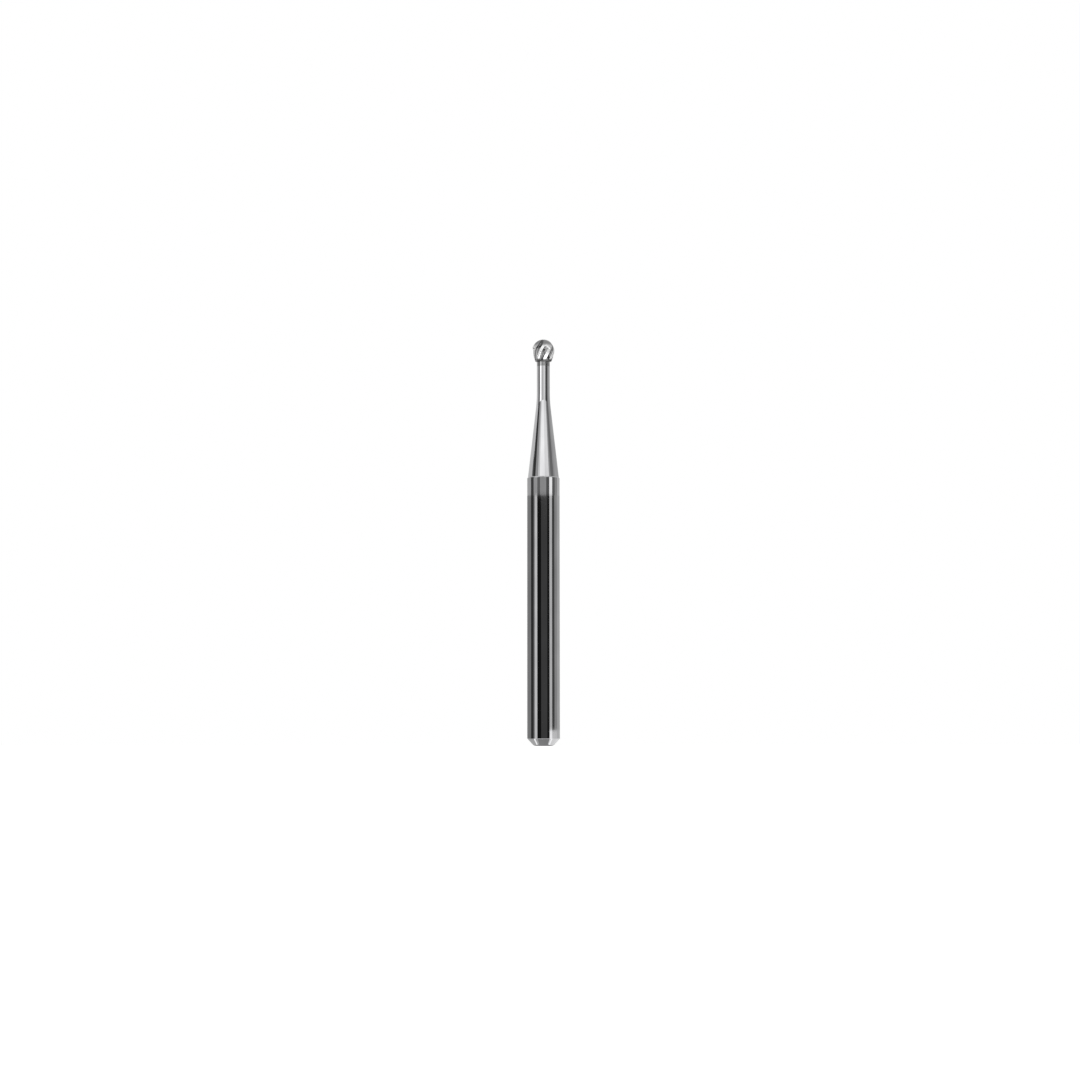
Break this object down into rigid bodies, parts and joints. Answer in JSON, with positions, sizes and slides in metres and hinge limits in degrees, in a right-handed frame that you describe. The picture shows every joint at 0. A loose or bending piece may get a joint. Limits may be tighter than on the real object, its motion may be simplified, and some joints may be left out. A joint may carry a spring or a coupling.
{
  "type": "carbide burr",
  "caption": "Round-head carbide burr with helical blades, a slim tapered neck and a plain straight shank for a friction-grip chuck.",
  "frame": {"origin": "centre of the shank's end, its lowest point when the head is up", "axes": "+Z along the axis of rotation from the shank's end to the tip of the head"},
  "size_m": [0.0016, 0.0016, 0.0201],
  "materials": {
    "steel": "finely ground and polished",
    "carbide": "ground tungsten carbide"
  },
  "bodies": {
    "root": {"steel_shank": "steel", "carbide_head": "carbide"}
  },
  "joints": []
}
